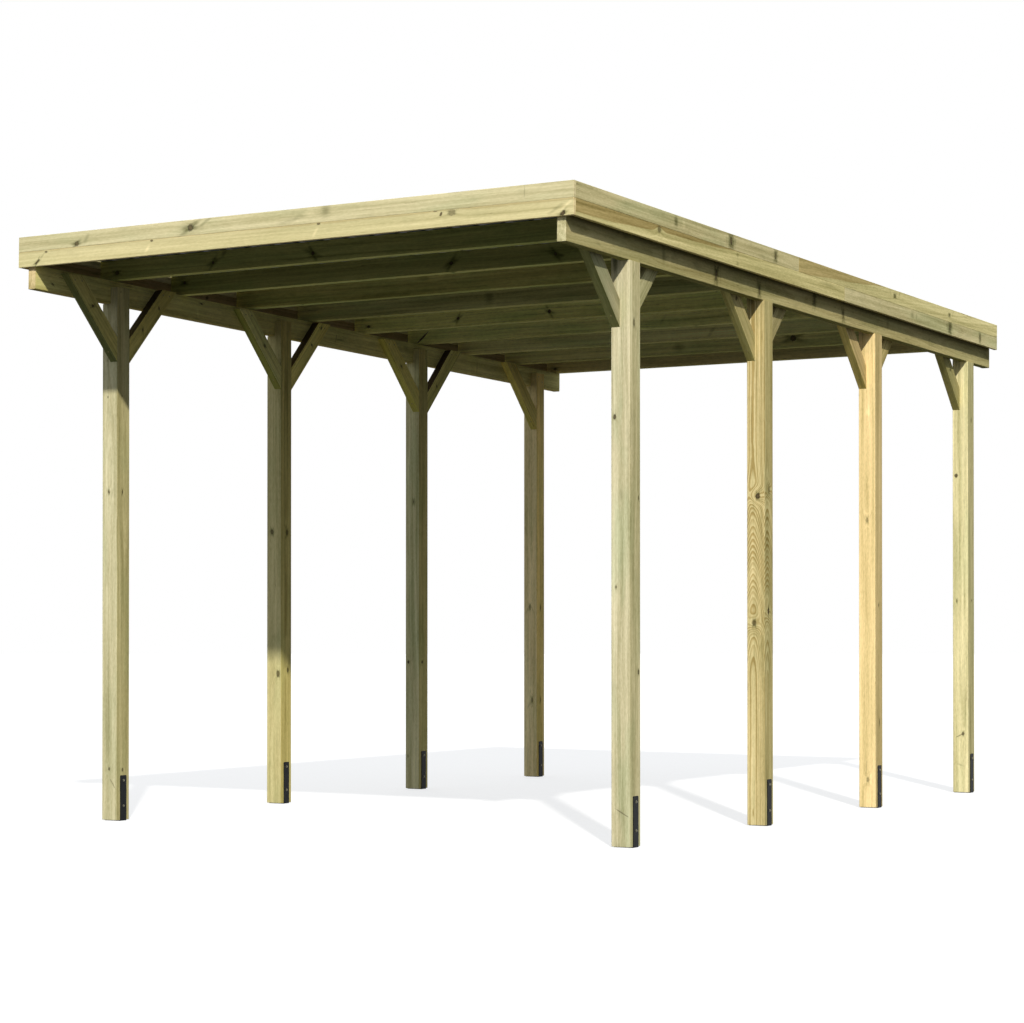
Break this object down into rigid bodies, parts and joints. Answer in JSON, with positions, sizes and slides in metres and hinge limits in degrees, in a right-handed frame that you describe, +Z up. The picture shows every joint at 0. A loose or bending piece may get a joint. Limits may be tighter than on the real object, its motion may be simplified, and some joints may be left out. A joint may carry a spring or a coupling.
{
  "type": "flat-roof timber carport",
  "caption": "Open flat-roof timber carport on notched square posts with knee braces, steel post shoes, cross rafters, ribbed steel roof and a board fascia on three sides.",
  "frame": {"origin": "on the ground under the middle of the roof", "axes": "+Z up, X across the carport, -Y to the open front, +Y to the low rear edge"},
  "size_m": [2.934, 4.8318, 2.7123],
  "materials": {
    "post_timber": "planed, pressure-treated softwood",
    "frame_timber": "planed, pressure-treated softwood",
    "fascia_timber": "planed, pressure-treated softwood",
    "shoe_steel": "black, satin",
    "roof_steel": "anthracite, satin"
  },
  "bodies": {
    "root": {"fascia_front_lower": "fascia_timber", "fascia_front_upper": "fascia_timber", "fascia_left_lower": "fascia_timber", "fascia_left_upper": "fascia_timber", "fascia_right_lower": "fascia_timber", "fascia_right_upper": "fascia_timber", "knee_braces_left_1": "frame_timber", "knee_braces_left_2": "frame_timber", "knee_braces_left_3": "frame_timber", "knee_braces_left_4": "frame_timber", "knee_braces_right_1": "frame_timber", "knee_braces_right_2": "frame_timber", "knee_braces_right_3": "frame_timber", "knee_braces_right_4": "frame_timber", "post_left_1": "post_timber", "post_left_2": "post_timber", "post_left_3": "post_timber", "post_left_4": "post_timber", "post_right_1": "post_timber", "post_right_2": "post_timber", "post_right_3": "post_timber", "post_right_4": "post_timber", "post_shoe_left_1": "shoe_steel", "post_shoe_left_2": "shoe_steel", "post_shoe_left_3": "shoe_steel", "post_shoe_left_4": "shoe_steel", "post_shoe_right_1": "shoe_steel", "post_shoe_right_2": "shoe_steel", "post_shoe_right_3": "shoe_steel", "post_shoe_right_4": "shoe_steel", "purlin_left": "frame_timber", "purlin_right": "frame_timber", "rafter_1": "frame_timber", "rafter_10": "frame_timber", "rafter_2": "frame_timber", "rafter_3": "frame_timber", "rafter_4": "frame_timber", "rafter_5": "frame_timber", "rafter_6": "frame_timber", "rafter_7": "frame_timber", "rafter_8": "frame_timber", "rafter_9": "frame_timber", "roof_sheet_1": "roof_steel", "roof_sheet_2": "roof_steel", "roof_sheet_3": "roof_steel"}
  },
  "joints": []
}
